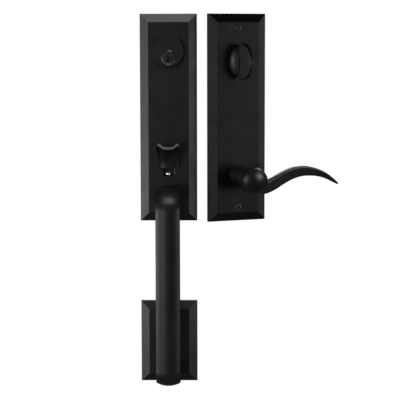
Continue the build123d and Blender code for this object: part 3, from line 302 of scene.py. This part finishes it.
# Each material and the nodes that have it
# Black oxide for small steel parts, its colour also kept very dark as painted shade, so the thumb
# bracket and the sheet in the slot show as the slot's shade
OXIDE_AND_SLOT_SHADE = bare_metal("black_oxide_and_painted_shade", bright=(0.02, 0.02, 0.022), dull=(0.012, 0.012, 0.013), rough=0.4)
LOOKS = (
    (satin_black("satin_black_coat"),
     ("exterior_plate", "lower_plate", "thumbpiece", "grip")),
    # Darker, less glossy copy of the coat: painted shade over the inside plate
    (satin_black("satin_black_inside_painted_shade", dark=0.0026, light=0.0042, specular=0.125),
     ("interior_plate",)),
    # Lighter, rougher copy of the coat: painted light on the thumb turn
    (satin_black("satin_black_turn_painted_light", dark=0.0044, light=0.0068, rough=0.5, specular=0.24),
     ("thumb_turn",)),
    # Slightly darker, rougher copy of the coat: painted shade on the lever
    (satin_black("satin_black_lever_painted_shade", dark=0.0032, light=0.0048, rough=0.43, peel=0.00003,
                 specular=0.2),
     ("lever",)),
    (coated_brass("coated_plug", coat=0.2, rough=0.16, metal=1.0, specular=0.5,
                  bare_box=KEYWAY_BOX, worn_box=WORN_BOX),
     ("cylinder_plug",)),
    (coated_brass("coated_cylinder", coat=0.0036, rough=0.33, metal=0.0, specular=0.19,
                  bare_box=BORE_BOX),
     ("cylinder_body",)),
    # Much lighter copy of the coat: painted light that makes the heads' rings look lit
    (satin_black("screw_heads_painted_light", dark=0.02, light=0.03, rough=0.5, specular=0.25),
     ("plate_screws",)),
    (bare_metal("turned_brass", bright=(0.86, 0.72, 0.55), dull=(0.66, 0.5, 0.34), rough=0.34),
     ("slot_rivet",)),
    (bare_metal("spring_wire", bright=(0.34, 0.34, 0.35), dull=(0.22, 0.22, 0.23), rough=0.35),
     ("cylinder_ring", "plug_ring", "turn_ring", "lever_ring", "turn_washer", "thumb_spring",
      "lever_spring")),
    (bare_metal("zinc_plate", bright=(0.46, 0.47, 0.48), dull=(0.34, 0.35, 0.37), rough=0.46),
     ("tailpiece", "tailpiece_pin", "thumb_pivot_pin", "bracket_screws", "grip_screws",
      "lower_post", "lever_spindle", "spring_cage", "cage_cover", "cage_screws", "lever_cam")),
    # Painted shade: the thumb bracket takes the dark oxide so the slot round the rivet looks shaded
    (OXIDE_AND_SLOT_SHADE,
     ("lever_set_screw", "thumb_bracket")),
    (plastic("natural_nylon", pale=(0.62, 0.6, 0.54), shade=(0.5, 0.48, 0.42), rough=0.45),
     ("turn_bushing", "lever_bushing")),
)
for material, names in LOOKS:
    for name in names:
        nodes[name].data.materials.clear()
        nodes[name].data.materials.append(material)

# Curved dark sheet between the bracket's ears, under the thumbpiece's hub, put there as painted
# shade that fills the slot's window: an arc round the pivot's axis, from the window's lower edge to
# behind the hub
PIVOT_DEPTH = 0.001
SHADE_SHEET_RADIUS = 0.0049
SHADE_SHEET_THICKNESS = 0.0003
SHADE_SHEET_HALF_WIDTH = 0.0064
SHADE_SHEET_START = -135
SHADE_SHEET_END = -32
SHADE_SHEET_STEPS = 20


def shade_sheet_arc(radius):
    """Points (y, z) of the shade sheet at one radius."""
    turns = [SHADE_SHEET_START + (SHADE_SHEET_END - SHADE_SHEET_START) * step / SHADE_SHEET_STEPS
             for step in range(SHADE_SHEET_STEPS + 1)]
    return [(PIVOT_DEPTH + radius * math.cos(math.radians(turn)),
             radius * math.sin(math.radians(turn))) for turn in turns]


def hub_shade_sheet():
    """The shade sheet's outline, drawn out over its width."""
    outline = shade_sheet_arc(SHADE_SHEET_RADIUS) + shade_sheet_arc(SHADE_SHEET_RADIUS + SHADE_SHEET_THICKNESS)[::-1]
    points = [(side * SHADE_SHEET_HALF_WIDTH, y, z) for side in (-1, 1) for y, z in outline]
    count = len(outline)
    faces = [tuple(range(count)), tuple(reversed(range(count, 2 * count)))]
    for first in range(count):
        second = (first + 1) % count
        faces.append((second, first, first + count, second + count))
    # Dark sheet that stands in for the shade inside the slot
    shade_sheet = mesh_piece("hub_shade_sheet", points, faces)
    shade_sheet.data.materials.append(OXIDE_AND_SLOT_SHADE)
    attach(shade_sheet, "plates")


hub_shade_sheet()

# Camera fitted to the photograph, its focal length in pixels of a 400 pixel frame
CAMERA_PLACE = (0.0546, -1.8102, 0.1596)
CAMERA_YAW = 0.515
CAMERA_PITCH = -6.402
CAMERA_ROLL = 0.097
FOCAL_PIXELS = 1471.15
FRAME_PIXELS = 400
SENSOR_MM = 36.0
CLIP_END = 50.0

lens = bpy.data.cameras.new("camera")
lens.sensor_width = SENSOR_MM
lens.lens = FOCAL_PIXELS * SENSOR_MM / FRAME_PIXELS
lens.clip_end = CLIP_END
camera = linked("camera", lens)
turn = turned("Z", CAMERA_YAW) @ turned("X", CAMERA_PITCH) @ turned("Y", CAMERA_ROLL)
right, forward, up = turn.col
stand = Matrix((right, up, -forward)).transposed().to_4x4()
stand.translation = CAMERA_PLACE
camera.matrix_world = stand
bpy.context.scene.camera = camera

# Lamps stand round the middle of the object. The light of the photograph differs between the
# halves, so each lamp is kept to one group of nodes; the back lamp lights all nodes.
MIDDLE = Vector((0.04, 0.0, -0.03))
LAMP_DISTANCE = 1.9
TALL = (0.5, 0.9)
SMALL = (0.25, 0.25)

OUTSIDE_FRONTS = ("exterior_plate", "lower_plate", "thumbpiece", "grip", "cylinder_body",
                  "cylinder_plug", "slot_rivet", "thumb_bracket")
INSIDE_FRONTS = ("interior_plate", "plate_screws", "thumb_turn")
LEVER = ("lever",)
FRONTS = OUTSIDE_FRONTS + INSIDE_FRONTS + LEVER
REAR_PIECES = tuple(name for name in nodes if name not in FRONTS)

# For each group its lamps: name, azimuth from the front and to the right, elevation, power, size
LAMPS = (
    ("outside_half", OUTSIDE_FRONTS, (
        ("left_softbox", -52, -3, 9.5, TALL),
        ("far_left_softbox", -66, -3, 15.5, TALL),
        ("left_front_softbox", -25, -3, 10.0, TALL),
        ("low_left_softbox", -58, -11, 8.0, (0.6, 0.4)),
        ("top_softbox", 4, 60, 38.0, (1.3, 0.8)),
        ("right_softbox", 50, -3, 11.0, TALL),
    )),
    ("beside_lever", INSIDE_FRONTS, (
        ("inside_left", -76, 4, 30.0, TALL),
        ("inside_front", 0, 4, 9.5, TALL),
        ("inside_right", 48, 4, 5.2, TALL),
        ("inside_far_right", 85, 4, 11.0, TALL),
    )),
    ("lever_only", LEVER, (
        ("lever_left", -74, 14, 30.0, (1.1, 1.3)),
        ("lever_high_right", 60, 38, 60.0, (1.3, 1.1)),
    )),
    ("whole", tuple(nodes), (
        ("back_softbox", 180, 30, 16.0, (1.4, 0.9)),
    )),
    ("rear_pieces", REAR_PIECES, (
        ("rear_left", -115, 20, 7.0, TALL),
        ("rear_right", 115, 20, 7.0, TALL),
    )),
)
FLOOR_LAMP = ("floor_softbox", 0, 75, 15.0, SMALL)


def kept_to(title, pieces):
    """Collection of the objects that a lamp is kept to."""
    group = bpy.data.collections.new(title)
    for piece in pieces:
        group.objects.link(piece)
    return group


def softbox(group, name, azimuth, elevation, power, size):
    """Area lamp that faces the middle of the object and lights one group."""
    lamp = bpy.data.lights.new(name, "AREA")
    lamp.shape = "RECTANGLE"
    lamp.size, lamp.size_y = size
    lamp.energy = power
    piece = linked(name, lamp)
    way = turned("Z", azimuth) @ turned("X", -elevation) @ Vector((0.0, -1.0, 0.0))
    piece.location = MIDDLE + way * LAMP_DISTANCE
    piece.rotation_euler = (-way).to_track_quat("-Z", "Y").to_euler()
    piece.light_linking.receiver_collection = group


for title, names, lamps in LAMPS:
    group = kept_to(title, [nodes[name] for name in names])
    for lamp in lamps:
        softbox(group, *lamp)

# Pale floor below the object; away from the object it goes over into the white background
FLOOR_LEVEL = -0.55
FLOOR_HALF = 1.6
FLOOR_GREY = 0.82
FLOOR_GREYS = (0.8, 0.84)
FLOOR_ROUGH = 0.8
FLOOR_FADE_START = 0.26
FLOOR_FADE_END = 0.40
FLOOR_PALE_SHARE = 0.6
WHITE = opaque(grey(1.0))


def pale_floor():
    """Square floor: its own colour near the object, white for the camera further out."""
    corners = [(x * FLOOR_HALF, y * FLOOR_HALF, 0) for x, y in ((-1, -1), (1, -1), (1, 1), (-1, 1))]
    floor = mesh_piece("floor", corners, [(0, 1, 2, 3)])
    floor.location = (MIDDLE.x, MIDDLE.y, FLOOR_LEVEL)
    material, shader = principled("pale_floor", grey(FLOOR_GREY), FLOOR_ROUGH)
    tree = material.node_tree
    tree.links.new(mottled(tree, FLOOR_CLOUD, *map(grey, FLOOR_GREYS)), shader.inputs["Base Color"])
    far = vector_node(tree, "LENGTH", own_place(tree)).outputs["Value"]
    away = span(tree, far, FLOOR_PALE_SHARE, 1.0, FLOOR_FADE_START, FLOOR_FADE_END)
    glow = add(tree, "ShaderNodeEmission", Color=WHITE, Strength=1.0)
    mixed_shaders(tree, product(tree, ray_share(tree, "Is Camera Ray"), away),
                  shader.outputs["BSDF"], glow.outputs["Emission"], "Material Output")
    floor.data.materials.append(material)
    return floor


softbox(kept_to("floor_only", [pale_floor()]), *FLOOR_LAMP)

# World: dim all round, white for the camera and, straight behind the object, for gloss and glass
SKY_LEVEL = 0.03
BACKDROP_START = 0.965
BACKDROP_END = 0.99


def studio_world():
    """Dim grey world with the white background."""
    world = bpy.data.worlds.new("studio")
    bpy.context.scene.world = world
    world.use_nodes = True
    tree = world.node_tree
    sky = tree.nodes["Background"]
    sky.inputs["Color"].default_value = opaque(grey(SKY_LEVEL))
    white = add(tree, "ShaderNodeBackground", Color=WHITE)
    way = tree.nodes.new("ShaderNodeSeparateXYZ")
    tree.links.new(tree.nodes.new("ShaderNodeTexCoord").outputs["Generated"], way.inputs["Vector"])
    behind = span(tree, way.outputs["Y"], 0.0, 1.0, BACKDROP_START, BACKDROP_END)
    gloss = product(tree, ray_share(tree, "Is Glossy Ray", "Is Transmission Ray"), behind)
    mixed_shaders(tree, greatest(tree, ray_share(tree, "Is Camera Ray"), gloss),
                  sky.outputs["Background"], white.outputs["Background"], "World Output")


studio_world()
bpy.context.scene.view_settings.view_transform = "Standard"
